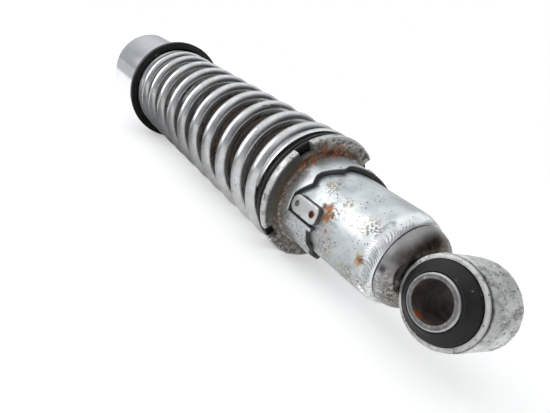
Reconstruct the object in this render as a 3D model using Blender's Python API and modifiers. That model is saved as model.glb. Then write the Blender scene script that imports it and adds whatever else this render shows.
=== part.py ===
"""Rear shock absorber: a coil-over damper with an eye at each end and a stepped preload collar.

It lies along X, with the origin halfway between the eyes' bore centres: the upper eye is at -X, the
lower eye at +X, and both bores run along Y. Distances named "from the lower eye" are measured back
along the damper, towards -X. Angles round the damper start at +Y and turn through -Z.
"""
import math

import bmesh
import bpy
from mathutils import Vector

MM = 0.001
MERGE = 0.00001
GAP = 0.3 * MM

EYE_TO_EYE = 322.0 * MM
LOWER_EYE_X = EYE_TO_EYE / 2.0
UPPER_EYE_X = -EYE_TO_EYE / 2.0
FINE_STEPS = 40
PLAIN_STEPS = 24
SMALL_STEPS = 16

EYE_RADIUS = 15.6 * MM
EYE_BORE = 14.0 * MM
EYE_HALF_WIDTH = 10.1 * MM
EYE_CHAMFER = 0.9 * MM
NECK_RADIUS = 10.0 * MM
NECK_LENGTH = 9.8 * MM
SLEEVE_RADIUS = 9.14 * MM
SLEEVE_BORE = 7.0 * MM
SLEEVE_HALF_LENGTH = 14.7 * MM
SLEEVE_CHAMFER = 0.5 * MM
RUBBER_LIP = 11.1 * MM
RUBBER_TOP = 13.9 * MM

BODY_RADIUS = 18.95 * MM
BODY_BORE = 16.5 * MM
BODY_START = 26.7 * MM
BODY_END = 163.0 * MM
WELD_START = 21.8 * MM
WELD_END = 26.4 * MM
DOME_START = 12.6 * MM
DOME_RADIUS = 17.3 * MM
DOME_END = 21.5 * MM
WELD_RADIUS = 18.9 * MM
CAP_SKIRT_END = 27.5 * MM
CAP_SKIRT_BORE = 12.6 * MM
CAP_FLOOR = 23.5 * MM

LUG_START = 51.2 * MM
LUG_END = 68.0 * MM
LUG_HALF_WIDTH = 4.0 * MM
LUG_RADIUS = 21.9 * MM
LUG_FOOT_RADIUS = 16.0 * MM
LUG_CORNER = 1.0 * MM
LUG_DIMPLES = (54.7 * MM, 65.2 * MM)
DIMPLE_RADIUS = 1.3 * MM
DIMPLE_DEPTH = 0.5 * MM

SKIRT_BORE = 19.3 * MM
SKIRT_RADIUS = 21.6 * MM
FLANGE_RADIUS = 29.2 * MM
FLANGE_START = 74.2 * MM
FLANGE_END = 77.3 * MM
FLANGE_ROUND = 0.7 * MM
NOTCH_RADIUS = 24.6 * MM
NOTCH_WIDTH = 15.0
NOTCHES = (45.0, 135.0, 225.0, 315.0)
CAM_PITCH = 37.5
CAM_STEP = 3.3 * MM
CAM_POSITIONS = 5
CAM_TAB_START = 51.9 * MM
CAM_SLOT_HALF_ANGLE = 14.0
CAM_CLEARANCE = 0.3 * MM
CAM_POCKET = 1.2 * MM

SEAT_RADIUS = 28.2 * MM
SEAT_START = 77.6 * MM
SEAT_END = 82.0 * MM
SEAT_HUB_RADIUS = 21.1 * MM
SEAT_HUB_END = 84.6 * MM

WIRE_RADIUS = 3.8 * MM
COIL_RADIUS = 25.4 * MM
SPRING_START = 82.3 * MM
SPRING_END = 248.3 * MM
SPRING_FIRST_ANGLE = -185.5
SPRING_TURNS = 11.72
PITCH_CLOSED = 7.42 * MM
PITCH_ACTIVE = 16.84 * MM
PITCH_UPPER = 10.74 * MM
PITCH_LAST = 7.75 * MM
COIL_STEPS = 18
PITCH_LAG = 0.067

RING_RADIUS = 33.6 * MM
RING_LIP_BORE = 29.6 * MM
RING_LIP_START = 244.6 * MM
RING_SEAT = 248.6 * MM
RING_END = 250.9 * MM
RING_BORE = 19.0 * MM
COVER_RADIUS = 28.6 * MM
COVER_WALL = 1.6 * MM
COVER_START = 251.2 * MM
COVER_END = 305.4 * MM
COVER_FILLET = 3.6 * MM
COVER_HOLE = 10.4 * MM

ROD_RADIUS = 6.0 * MM
ROD_STUD_RADIUS = 4.0 * MM
ROD_BORE = ROD_RADIUS + GAP
ROD_START = 129.8 * MM
ROD_SHOULDER = 146.3 * MM
ROD_END = 304.4 * MM
NUT_START = 292.4 * MM
NUT_END = 299.6 * MM
NUT_FLATS = 19.0 * MM
WASHER_START = 290.3 * MM
WASHER_END = 292.1 * MM
WASHER_RADIUS = 15.0 * MM
BUMP_START = 227.0 * MM
BUMP_END = 290.0 * MM
BUMP_FOLDS = 4
BUMP_FOLD_PITCH = 15.0 * MM
PISTON_START = 138.0 * MM
PISTON_END = 146.0 * MM
PISTON_RADIUS = 11.4 * MM
PISTON_GROOVE = (140.5 * MM, 143.5 * MM, 10.0 * MM)
PISTON_NUT_START = 130.6 * MM
PISTON_NUT_END = 136.0 * MM
PISTON_NUT_FLATS = 13.0 * MM
GUIDE_START = 150.0 * MM
GUIDE_SHOULDER = 152.3 * MM
GUIDE_END = 156.8 * MM
GUIDE_BORE = 7.6 * MM
GLAND_START = 160.0 * MM
GLAND_END = 165.4 * MM
GLAND_BORE = 9.4 * MM
VALVE_START = 23.9 * MM
VALVE_SHOULDER = 30.3 * MM
VALVE_END = 35.0 * MM
VALVE_BORE = 3.5 * MM
PRESSURE_TUBE_BORE = 12.0 * MM


def look(name, colour, roughness, metallic):
    """A plain material for one sub-part."""
    material = bpy.data.materials.new(name)
    material.use_nodes = True
    shader = material.node_tree.nodes["Principled BSDF"]
    shader.inputs["Base Color"].default_value = (*colour, 1.0)
    shader.inputs["Roughness"].default_value = roughness
    shader.inputs["Metallic"].default_value = metallic
    return material


def clear_scene():
    for thing in list(bpy.data.objects):
        bpy.data.objects.remove(thing, do_unlink=True)


def new_collection(name):
    collection = bpy.data.collections.new(name)
    bpy.context.scene.collection.children.link(collection)
    return collection


def place(from_lower_eye, radius, angle):
    """The point at this distance from the lower eye, this far off the axis, at this angle."""
    turn = math.radians(angle)
    return Vector((LOWER_EYE_X - from_lower_eye, radius * math.cos(turn), -radius * math.sin(turn)))


def add_object(name, data, collection):
    thing = bpy.data.objects.new(name, data)
    collection.objects.link(thing)
    return thing


def outer_side_first(outline):
    """The section's corners as (radius, height), turned so that the outer side runs downwards."""
    corners = [Vector((radius, height)) for height, radius in outline]
    doubled = 0.0
    for here, there in zip(corners, corners[1:] + corners[:1]):
        doubled += here.x * there.y - there.x * here.y
    if doubled > 0.0:
        corners.reverse()
    return corners


def turned(name, outline, material, steps=PLAIN_STEPS, axis="DAMPER", centre=0.0):
    """A turned piece. Its outline lists (height, radius) corners; a solid one starts on the axis."""
    corners = outer_side_first(outline)
    closed = min(corner.x for corner in corners) > 0.0
    if not closed:
        first = max(range(len(corners)), key=lambda i: (corners[i].x <= 0.0, corners[i].y))
        corners = corners[first:] + corners[:first]
    mesh = bpy.data.meshes.new(name)
    shape = bmesh.new()
    points = [shape.verts.new((corner.x, 0.0, corner.y)) for corner in corners]
    for here, there in zip(points, points[1:]):
        shape.edges.new((here, there))
    if closed:
        shape.edges.new((points[-1], points[0]))
    shape.to_mesh(mesh)
    shape.free()
    mesh.materials.append(material)
    thing = add_object(name, mesh, PARTS)
    spin = thing.modifiers.new("turning", "SCREW")
    spin.axis = "Z"
    spin.angle = math.radians(360.0)
    spin.steps = steps
    spin.render_steps = steps
    spin.use_merge_vertices = True
    spin.merge_threshold = MERGE
    spin.use_smooth_shade = True
    if axis == "DAMPER":
        thing.rotation_euler = (0.0, math.radians(90.0), 0.0)
    else:
        thing.rotation_euler = (math.radians(-90.0), 0.0, 0.0)
    thing.location = (centre, 0.0, 0.0)
    return thing


def along(outline):
    """Turns distances from the lower eye into positions along X."""
    return [(LOWER_EYE_X - distance, radius) for distance, radius in outline]


def cut(thing, cutter, operation="DIFFERENCE"):
    cutter.hide_render = True
    cutter.display_type = "WIRE"
    boolean = thing.modifiers.new("cut by " + cutter.name, "BOOLEAN")
    boolean.object = cutter
    boolean.operation = operation
    boolean.solver = "EXACT"


def cylinder(name, radius, length, location, direction, sides=PLAIN_STEPS):
    """A plain cylinder for cutting or joining, centred at location."""
    mesh = bpy.data.meshes.new(name)
    shape = bmesh.new()
    bmesh.ops.create_cone(
        shape, cap_ends=True, segments=sides, radius1=radius, radius2=radius, depth=length
    )
    shape.to_mesh(mesh)
    shape.free()
    thing = add_object(name, mesh, CUTTERS)
    thing.rotation_mode = "QUATERNION"
    thing.rotation_quaternion = Vector(direction).to_track_quat("Z", "Y")
    thing.location = location
    return thing


def lofted(name, section, angles, material):
    """A ring whose section changes with the angle: a loft between sections of equal corner count."""
    mesh = bpy.data.meshes.new(name)
    shape = bmesh.new()
    rows = []
    for angle in angles:
        rows.append([shape.verts.new(place(s, radius, angle)) for s, radius in section(angle)])
    for row, following in zip(rows, rows[1:] + rows[:1]):
        for i in range(len(row)):
            j = (i + 1) % len(row)
            shape.faces.new((row[i], row[j], following[j], following[i]))
    bmesh.ops.recalc_face_normals(shape, faces=shape.faces)
    shape.to_mesh(mesh)
    shape.free()
    mesh.materials.append(material)
    mesh.shade_smooth()
    mesh.set_sharp_from_angle(angle=math.radians(30.0))
    return add_object(name, mesh, PARTS)


def hex_nut(name, start, end, across_flats, bore, material):
    """A hexagon nut on the damper's axis."""
    half = across_flats / 2.0

    def section(angle):
        off_flat = math.radians((angle + 30.0) % 60.0 - 30.0)
        radius = half / math.cos(off_flat)
        return [(start, bore), (start, radius), (end, radius), (end, bore)]

    return lofted(name, section, [15.0 * i for i in range(24)], material)


def eye_barrel(name, centre, material):
    """The steel ring that holds a rubber bush."""
    outline = [
        (EYE_HALF_WIDTH, EYE_BORE),
        (EYE_HALF_WIDTH, EYE_RADIUS - EYE_CHAMFER),
        (EYE_HALF_WIDTH - EYE_CHAMFER, EYE_RADIUS),
        (EYE_CHAMFER - EYE_HALF_WIDTH, EYE_RADIUS),
        (-EYE_HALF_WIDTH, EYE_RADIUS - EYE_CHAMFER),
        (-EYE_HALF_WIDTH, EYE_BORE),
    ]
    return turned(name, outline, material, FINE_STEPS, "EYE", centre)


def eye_bush(prefix, centre, rubber, steel):
    """The rubber bush, bulging out as a cone at both ends, and the steel sleeve inside it."""
    bore = SLEEVE_RADIUS + GAP
    outer = EYE_BORE - GAP
    turned(
        prefix + "_bush_rubber",
        [
            (RUBBER_TOP, bore),
            (RUBBER_TOP, bore + 0.5 * MM),
            (RUBBER_LIP, outer),
            (-RUBBER_LIP, outer),
            (-RUBBER_TOP, bore + 0.5 * MM),
            (-RUBBER_TOP, bore),
        ],
        rubber,
        PLAIN_STEPS,
        "EYE",
        centre,
    )
    turned(
        prefix + "_bush_sleeve",
        [
            (SLEEVE_HALF_LENGTH, SLEEVE_BORE),
            (SLEEVE_HALF_LENGTH, SLEEVE_RADIUS - SLEEVE_CHAMFER),
            (SLEEVE_HALF_LENGTH - SLEEVE_CHAMFER, SLEEVE_RADIUS),
            (SLEEVE_CHAMFER - SLEEVE_HALF_LENGTH, SLEEVE_RADIUS),
            (-SLEEVE_HALF_LENGTH, SLEEVE_RADIUS - SLEEVE_CHAMFER),
            (-SLEEVE_HALF_LENGTH, SLEEVE_BORE),
        ],
        steel,
        FINE_STEPS,
        "EYE",
        centre,
    )


def upper_mount():
    """The upper eye with the neck the rod screws into."""
    eye = eye_barrel("upper_eye", UPPER_EYE_X, look("cast_eye_paint", (0.55, 0.55, 0.54), 0.45, 0.6))
    middle = (UPPER_EYE_X + 16.9 * MM, 0.0, 0.0)
    neck = cylinder("neck", NECK_RADIUS, NECK_LENGTH, middle, (1, 0, 0))
    bore = cylinder("neck_bore", ROD_RADIUS + GAP, 12.0 * MM, place(298.8 * MM, 0.0, 0.0), (1, 0, 0))
    centre = (UPPER_EYE_X, 0.0, 0.0)
    clearance = cylinder("eye_bore", EYE_BORE, 30.0 * MM, centre, (0, 1, 0), FINE_STEPS)
    cut(eye, neck, "UNION")
    cut(eye, clearance)
    cut(eye, bore)
    eye_bush(
        "upper",
        UPPER_EYE_X,
        look("upper_rubber", (0.03, 0.03, 0.032), 0.6, 0.0),
        look("upper_sleeve_steel", (0.5, 0.48, 0.45), 0.35, 1.0),
    )


def upper_cover():
    """The chromed bell behind the upper seat, open towards the spring."""
    inner = COVER_RADIUS - COVER_WALL
    outline = [(COVER_START, inner), (COVER_START, COVER_RADIUS)]
    corner = COVER_END - COVER_FILLET
    for i in range(6):
        turn = math.radians(18.0 * i)
        outline.append(
            (
                corner + COVER_FILLET * math.sin(turn),
                COVER_RADIUS - COVER_FILLET * (1.0 - math.cos(turn)),
            )
        )
    outline.append((COVER_END, COVER_HOLE))
    outline.append((COVER_END - 2.0 * COVER_WALL, COVER_HOLE))
    for i in range(3, -1, -1):
        turn = math.radians(30.0 * i)
        fillet = COVER_FILLET - COVER_WALL
        outline.append(
            (
                corner - COVER_WALL + fillet * math.sin(turn),
                inner - fillet * (1.0 - math.cos(turn)),
            )
        )
    turned(
        "top_cover", along(outline), look("bright_chrome", (0.8, 0.8, 0.8), 0.06, 1.0), FINE_STEPS
    )


def upper_seat():
    """The black ring at the cover's mouth. Its lip stands round the spring's last coil."""
    outline = [
        (RING_LIP_START, RING_LIP_BORE),
        (RING_LIP_START, RING_RADIUS - 0.8 * MM),
        (RING_LIP_START + 0.8 * MM, RING_RADIUS),
        (RING_SEAT - 0.6 * MM, RING_RADIUS),
        (RING_END, RING_RADIUS - 2.6 * MM),
        (RING_END, RING_BORE),
        (RING_SEAT, RING_BORE),
        (RING_SEAT, RING_LIP_BORE),
    ]
    turned(
        "upper_spring_seat", along(outline), look("seat_paint", (0.02, 0.02, 0.02), 0.4, 0.0),
        FINE_STEPS,
    )


def rod_and_stops():
    """The rod with its lock nut, washer and bump stop, which stay with the upper eye."""
    steel = look("zinc_plate", (0.6, 0.58, 0.5), 0.35, 1.0)
    hex_nut("rod_lock_nut", NUT_START, NUT_END, NUT_FLATS, ROD_BORE, steel)
    bore = ROD_BORE
    turned(
        "bump_stop_washer",
        along(
            [
                (WASHER_START, bore),
                (WASHER_START, WASHER_RADIUS),
                (WASHER_END, WASHER_RADIUS),
                (WASHER_END, bore),
            ]
        ),
        look("washer_steel", (0.55, 0.55, 0.55), 0.4, 1.0),
        PLAIN_STEPS,
    )
    bump = [(BUMP_START, bore), (BUMP_START, 10.5 * MM)]
    for i in range(BUMP_FOLDS):
        start = BUMP_START + 3.0 * MM + BUMP_FOLD_PITCH * i
        bump.append((start, 13.0 * MM))
        bump.append((start + 8.0 * MM, 14.5 * MM))
        bump.append((start + 12.0 * MM, 11.5 * MM))
    bump[-1] = (BUMP_END, 14.0 * MM)
    bump.append((BUMP_END, bore))
    turned("bump_stop", along(bump), look("bump_foam", (0.03, 0.028, 0.026), 0.85, 0.0), SMALL_STEPS)
    turned(
        "piston_rod",
        along(
            [
                (ROD_START, 0.0),
                (ROD_START, ROD_STUD_RADIUS),
                (ROD_SHOULDER, ROD_STUD_RADIUS),
                (ROD_SHOULDER, ROD_RADIUS),
                (ROD_END, ROD_RADIUS),
                (ROD_END, 0.0),
            ]
        ),
        look("hard_chrome", (0.75, 0.75, 0.76), 0.12, 1.0),
        PLAIN_STEPS,
    )


def piston_group():
    """The piston, its ring, the shims and nut under it and the rebound stop above it."""
    stud = ROD_STUD_RADIUS + GAP
    groove_start, groove_end, groove_floor = PISTON_GROOVE
    turned(
        "piston",
        along(
            [
                (PISTON_START, stud),
                (PISTON_START, PISTON_RADIUS),
                (groove_start, PISTON_RADIUS),
                (groove_start, groove_floor),
                (groove_end, groove_floor),
                (groove_end, PISTON_RADIUS),
                (PISTON_END, PISTON_RADIUS),
                (PISTON_END, stud),
            ]
        ),
        look("sintered_iron", (0.3, 0.3, 0.3), 0.5, 1.0),
        PLAIN_STEPS,
    )
    plain_ring("piston_ring", 140.8, 143.2, 10.3, 11.7, look("ring_ptfe", (0.05, 0.05, 0.05), 0.5, 0.0))
    plain_ring("valve_shims", 136.3, 137.7, 4.3, 9.0, look("shim_steel", (0.5, 0.5, 0.52), 0.3, 1.0))
    plain_ring(
        "rebound_stop", 146.6, 149.4, 6.3, 9.0, look("stop_nylon", (0.7, 0.68, 0.6), 0.5, 0.0)
    )
    nut_steel = look("piston_nut_steel", (0.5, 0.48, 0.42), 0.4, 1.0)
    hex_nut("piston_nut", PISTON_NUT_START, PISTON_NUT_END, PISTON_NUT_FLATS, stud, nut_steel)


def plain_ring(name, start, end, bore, radius, material, steps=PLAIN_STEPS):
    """A ring with a square section; sizes in millimetres from the lower eye."""
    outline = [(start, bore), (start, radius), (end, radius), (end, bore)]
    return turned(name, along([(s * MM, r * MM) for s, r in outline]), material, steps)


def ramp(value, start, end):
    """0 up to start, 1 from end on, and a straight line between."""
    return min(max((value - start) / (end - start), 0.0), 1.0)


def spring_pitch(turn):
    """The rise a turn: closed at both ends, even in the middle, tighter towards the upper end."""
    pitch = PITCH_CLOSED
    pitch += (PITCH_ACTIVE - PITCH_CLOSED) * ramp(turn, 0.7, 1.6)
    pitch += (PITCH_UPPER - PITCH_ACTIVE) * ramp(turn, 8.7, 10.2)
    return pitch + (PITCH_LAST - PITCH_UPPER) * ramp(turn, 10.2, 10.6)


def coil_points(start, turns, radius, steps):
    """The wire's centre line, from the lower end upwards."""
    points = []
    rise = start
    count = round(turns * steps)
    for i in range(count + 1):
        turn = i / steps
        points.append(place(rise, radius, SPRING_FIRST_ANGLE + 360.0 * turn))
        rise += spring_pitch(turn + 0.5 / steps - PITCH_LAG) / steps
    return points


def coil_spring():
    """The chromed right-handed spring, both ends ground flat."""
    curve = bpy.data.curves.new("coil_wire", "CURVE")
    curve.dimensions = "3D"
    curve.bevel_depth = WIRE_RADIUS
    curve.bevel_resolution = 2
    curve.use_fill_caps = True
    points = coil_points(SPRING_START, SPRING_TURNS, COIL_RADIUS, COIL_STEPS)
    line = curve.splines.new("POLY")
    line.points.add(len(points) - 1)
    for knot, point in zip(line.points, points):
        knot.co = (*point, 1.0)
    wire = add_object("coil_wire", curve, CUTTERS)
    bpy.context.view_layer.update()
    evaluated = wire.evaluated_get(bpy.context.evaluated_depsgraph_get())
    mesh = bpy.data.meshes.new_from_object(evaluated)
    shape = bmesh.new()
    shape.from_mesh(mesh)
    bmesh.ops.remove_doubles(shape, verts=shape.verts, dist=MERGE)
    shape.to_mesh(mesh)
    shape.free()
    mesh.materials.clear()
    mesh.materials.append(look("spring_chrome", (0.75, 0.75, 0.76), 0.12, 1.0))
    mesh.shade_smooth()
    mesh.set_sharp_from_angle(angle=math.radians(60.0))
    spring = add_object("coil_spring", mesh, PARTS)
    spring.matrix_world = wire.matrix_world
    bpy.data.objects.remove(wire, do_unlink=True)
    block = 20.0 * MM
    for name, face, side in (("lower_grind", SPRING_START, -1.0), ("upper_grind", SPRING_END, 1.0)):
        middle = LOWER_EYE_X - face - side * block / 2.0
        cut(spring, cylinder(name, 40.0 * MM, block, (middle, 0.0, 0.0), (1, 0, 0), SMALL_STEPS))


def lower_mount():
    """The lower eye with its bush, and the domed cap that closes the body."""
    eye_barrel("lower_eye", LOWER_EYE_X, look("eye_paint", (0.55, 0.56, 0.56), 0.5, 0.5))
    eye_bush(
        "lower",
        LOWER_EYE_X,
        look("bush_rubber", (0.03, 0.03, 0.032), 0.55, 0.0),
        look("sleeve_steel", (0.45, 0.43, 0.4), 0.35, 1.0),
    )
    cap = turned(
        "body_end_cap",
        along(
            [
                (DOME_START, 0.0),
                (DOME_START, 11.0 * MM),
                (15.0 * MM, 14.2 * MM),
                (18.0 * MM, 16.4 * MM),
                (DOME_END, DOME_RADIUS),
                (DOME_END, BODY_BORE - GAP),
                (CAP_SKIRT_END, BODY_BORE - GAP),
                (CAP_SKIRT_END, CAP_SKIRT_BORE),
                (CAP_FLOOR, CAP_SKIRT_BORE),
                (CAP_FLOOR, 0.0),
            ]
        ),
        look("cap_paint", (0.3, 0.29, 0.27), 0.55, 0.4),
        FINE_STEPS,
    )
    saddle_centre = (LOWER_EYE_X, 0.0, 0.0)
    cut(cap, cylinder("saddle", EYE_RADIUS + GAP, 60.0 * MM, saddle_centre, (0, 1, 0), FINE_STEPS))


def damper_body():
    """The outer tube and the weld bead that joins it to the cap."""
    turned(
        "weld_bead",
        along(
            [
                (WELD_START, BODY_BORE),
                (WELD_START, WELD_RADIUS - 1.5 * MM),
                (WELD_START + 1.4 * MM, WELD_RADIUS - 0.6 * MM),
                (WELD_END - 1.4 * MM, WELD_RADIUS),
                (WELD_END, WELD_RADIUS),
                (WELD_END, BODY_BORE),
            ]
        ),
        look("weld_metal", (0.5, 0.49, 0.46), 0.45, 0.6),
        FINE_STEPS,
    )
    turned(
        "body_tube",
        along(
            [
                (BODY_START, BODY_BORE),
                (BODY_START, BODY_RADIUS),
                (BODY_END, BODY_RADIUS),
                (BODY_END, BODY_BORE),
            ]
        ),
        look("body_paint", (0.58, 0.6, 0.6), 0.3, 0.6),
        FINE_STEPS,
    )


def cam_lug(name, side):
    """A welded lug that the stepped collar rests on: square at its lower end, round at the other."""
    outline = bpy.data.curves.new(name + "_outline", "CURVE")
    outline.dimensions = "2D"
    outline.fill_mode = "BOTH"
    depth = LUG_RADIUS - LUG_FOOT_RADIUS
    outline.extrude = depth / 2.0
    corners = []
    for i in range(9):
        turn = math.radians(22.5 * i)
        corners.append(
            (LUG_HALF_WIDTH * math.cos(turn), LUG_END - LUG_HALF_WIDTH + LUG_HALF_WIDTH * math.sin(turn))
        )
    for across in (-1.0, 1.0):
        corners.append((across * LUG_HALF_WIDTH, LUG_START + LUG_CORNER))
        corners.append((across * (LUG_HALF_WIDTH - LUG_CORNER), LUG_START))
        if across > 0.0:
            corners[-2:] = reversed(corners[-2:])
    line = outline.splines.new("POLY")
    line.points.add(len(corners) - 1)
    for knot, (across, up) in zip(line.points, corners):
        knot.co = (across, up, 0.0, 1.0)
    line.use_cyclic_u = True
    flat = add_object(name + "_outline", outline, CUTTERS)
    bpy.context.view_layer.update()
    evaluated = flat.evaluated_get(bpy.context.evaluated_depsgraph_get())
    mesh = bpy.data.meshes.new_from_object(evaluated)
    bpy.data.objects.remove(flat, do_unlink=True)
    shape = bmesh.new()
    shape.from_mesh(mesh)
    bmesh.ops.remove_doubles(shape, verts=shape.verts, dist=MERGE)
    for vert in shape.verts:
        across, up, out = vert.co
        vert.co = (LOWER_EYE_X - up, side * (LUG_FOOT_RADIUS + depth / 2.0 + out), across)
    bmesh.ops.recalc_face_normals(shape, faces=shape.faces)
    shape.to_mesh(mesh)
    shape.free()
    mesh.materials.clear()
    mesh.materials.append(look(name + "_paint", (0.55, 0.56, 0.56), 0.4, 0.5))
    lug = add_object(name, mesh, PARTS)
    middle = (LOWER_EYE_X - 60.0 * MM, 0.0, 0.0)
    cut(lug, cylinder(name + "_saddle", BODY_RADIUS + GAP, 60.0 * MM, middle, (1, 0, 0), FINE_STEPS))
    for i, up in enumerate(LUG_DIMPLES):
        spot = (LOWER_EYE_X - up, side * LUG_RADIUS, 0.0)
        dent = cylinder(f"{name}_dimple_{i}", DIMPLE_RADIUS, 2.0 * DIMPLE_DEPTH, spot, (0, 1, 0), 8)
        cut(lug, dent)


def cam_edge(angle):
    """The height of the collar's stepped edge at an angle past a lug, repeating each half turn.

    The straight part of the rule is the path of the lug's round end as the collar climbs; pockets
    are cut deeper than that path at each of the five stops.
    """
    past = (angle + CAM_SLOT_HALF_ANGLE) % 180.0 - CAM_SLOT_HALF_ANGLE
    last_stop = CAM_PITCH * (CAM_POSITIONS - 1)
    if past > last_stop + CAM_SLOT_HALF_ANGLE - 2.0:
        return CAM_TAB_START
    path = LUG_END + CAM_CLEARANCE - CAM_STEP * past / CAM_PITCH
    if past < 0.0:
        return LUG_END + CAM_CLEARANCE
    from_stop = (past + CAM_PITCH / 2.0) % CAM_PITCH - CAM_PITCH / 2.0
    pocket = CAM_POCKET * max(0.0, math.cos(math.radians(180.0 * from_stop / CAM_PITCH)))
    return path + pocket


def flange_edge(angle):
    """The flange's outer radius: cut back in the four spanner notches."""
    for notch in NOTCHES:
        if abs((angle - notch + 180.0) % 360.0 - 180.0) < NOTCH_WIDTH / 2.0:
            return NOTCH_RADIUS
    return FLANGE_RADIUS


def collar_angles():
    """Even stations, with a pair set close together at each sudden step."""
    steps = []
    for half in (0.0, 180.0):
        steps.append(half - CAM_SLOT_HALF_ANGLE)
        steps.append(half + CAM_PITCH * (CAM_POSITIONS - 1) + CAM_SLOT_HALF_ANGLE - 2.0)
    for notch in NOTCHES:
        steps.append(notch - NOTCH_WIDTH / 2.0)
        steps.append(notch + NOTCH_WIDTH / 2.0)
    angles = {round(angle, 3) for angle in (7.5 * i + 3.0 for i in range(48))}
    for step in steps:
        angles = {a for a in angles if abs((a - step + 180.0) % 360.0 - 180.0) > 1.5}
    for step in steps:
        angles.add(round((step - 0.05) % 360.0, 3))
        angles.add(round((step + 0.05) % 360.0, 3))
    return sorted(angles)


def preload_collar():
    """The stepped collar: a skirt whose end is the cam, and a notched flange under the seat."""

    def section(angle):
        edge = cam_edge(angle)
        rim = flange_edge(angle)
        return [
            (edge, SKIRT_BORE),
            (edge, SKIRT_RADIUS),
            (FLANGE_START, SKIRT_RADIUS),
            (FLANGE_START, rim - FLANGE_ROUND),
            (FLANGE_START + FLANGE_ROUND, rim),
            (FLANGE_END - FLANGE_ROUND, rim),
            (FLANGE_END, rim - FLANGE_ROUND),
            (FLANGE_END, SKIRT_BORE),
        ]

    lofted(
        "preload_collar", section, collar_angles(), look("collar_paint", (0.55, 0.57, 0.57), 0.35, 0.6)
    )


def lower_seat():
    """The black seat ring between the collar's flange and the spring."""
    turned(
        "lower_spring_seat",
        along(
            [
                (SEAT_START, SKIRT_BORE),
                (SEAT_START, SEAT_RADIUS - 0.5 * MM),
                (SEAT_START + 0.5 * MM, SEAT_RADIUS),
                (SEAT_END - 0.5 * MM, SEAT_RADIUS),
                (SEAT_END, SEAT_RADIUS - 0.5 * MM),
                (SEAT_END, SEAT_HUB_RADIUS),
                (SEAT_HUB_END, SEAT_HUB_RADIUS - 0.6 * MM),
                (SEAT_HUB_END, SKIRT_BORE),
            ]
        ),
        look("lower_seat_paint", (0.02, 0.02, 0.022), 0.45, 0.0),
        FINE_STEPS,
    )


def inner_parts():
    """The pressure tube, foot valve, rod guide, seals and gland nut inside the body."""
    plain_ring("pressure_tube", 30.6, 152.0, 12.0, 13.5, look("tube_steel", (0.5, 0.5, 0.5), 0.3, 1.0))
    turned(
        "foot_valve",
        along(
            [
                (VALVE_START, VALVE_BORE),
                (VALVE_START, PRESSURE_TUBE_BORE + GAP),
                (VALVE_SHOULDER, PRESSURE_TUBE_BORE + GAP),
                (VALVE_SHOULDER, PRESSURE_TUBE_BORE - GAP),
                (VALVE_END, PRESSURE_TUBE_BORE - GAP),
                (VALVE_END, VALVE_BORE),
            ]
        ),
        look("valve_iron", (0.35, 0.34, 0.33), 0.5, 1.0),
        PLAIN_STEPS,
    )
    plain_ring("foot_valve_plate", 35.3, 36.5, 2.0, 8.0, look("plate_steel", (0.5, 0.5, 0.52), 0.3, 1.0))
    turned(
        "rod_guide",
        along(
            [
                (GUIDE_START, GUIDE_BORE),
                (GUIDE_START, PRESSURE_TUBE_BORE - GAP),
                (GUIDE_SHOULDER, PRESSURE_TUBE_BORE - GAP),
                (GUIDE_SHOULDER, BODY_BORE - GAP),
                (GUIDE_END, BODY_BORE - GAP),
                (GUIDE_END, GUIDE_BORE),
            ]
        ),
        look("guide_iron", (0.35, 0.35, 0.35), 0.45, 1.0),
        PLAIN_STEPS,
    )
    plain_ring("guide_bush", 150.4, 156.4, 6.3, 7.3, look("bush_bronze", (0.45, 0.3, 0.14), 0.4, 1.0))
    plain_ring("oil_seal", 157.1, 159.7, 6.3, 13.6, look("seal_rubber", (0.03, 0.03, 0.03), 0.6, 0.0))
    plain_ring("seal_o_ring", 157.1, 159.7, 13.9, 16.2, look("o_ring", (0.02, 0.02, 0.02), 0.6, 0.0))
    turned(
        "gland_nut",
        along(
            [
                (GLAND_START, GLAND_BORE),
                (GLAND_START, BODY_BORE - GAP),
                (163.3 * MM, BODY_BORE - GAP),
                (163.3 * MM, BODY_RADIUS),
                (GLAND_END, BODY_RADIUS - 0.6 * MM),
                (GLAND_END, GLAND_BORE),
            ]
        ),
        look("gland_paint", (0.02, 0.02, 0.02), 0.5, 0.3),
        FINE_STEPS,
    )
    plain_ring("dust_wiper", 160.6, 165.0, 6.3, 9.1, look("wiper_rubber", (0.03, 0.03, 0.03), 0.6, 0.0))


clear_scene()
PARTS = new_collection("rear_shock_absorber")
CUTTERS = new_collection("cutters")
upper_mount()
upper_cover()
upper_seat()
rod_and_stops()
piston_group()
coil_spring()
lower_mount()
damper_body()
cam_lug("cam_lug_front", -1.0)
cam_lug("cam_lug_rear", 1.0)
preload_collar()
lower_seat()
inner_parts()
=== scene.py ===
"""Looks for the rear shock absorber: detailed pieces and procedural materials over the CAD frame.

The shock lies along X with the origin halfway between its eyes. Distances called "up" are measured
from the lower eye's centre back along the damper, towards -X; angles round the damper start at +Y
and turn through -Z.
"""
import math

import bmesh
import bpy
import numpy as np
from mathutils import Matrix, Vector, noise


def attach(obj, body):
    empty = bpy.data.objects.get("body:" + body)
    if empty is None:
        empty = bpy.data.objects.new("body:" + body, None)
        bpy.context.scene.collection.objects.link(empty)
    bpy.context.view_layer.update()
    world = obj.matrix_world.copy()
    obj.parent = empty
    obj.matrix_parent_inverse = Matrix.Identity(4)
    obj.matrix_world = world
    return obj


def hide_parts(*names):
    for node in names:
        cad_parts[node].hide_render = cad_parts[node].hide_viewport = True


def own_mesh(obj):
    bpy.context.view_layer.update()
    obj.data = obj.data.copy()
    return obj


MM = 0.001
LOWER_X = 0.161
UPPER_X = -0.161
TURN = 2.0 * math.pi

CAMERA_AT = (0.23198, -0.15285, 0.05108)
CAMERA_RIGHT = (0.44094, 0.82573, 0.35179)
CAMERA_UP = (-0.46372, -0.12600, 0.87698)
CAMERA_LENS = 31.408
CAMERA_SHIFT = 0.09914

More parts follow.
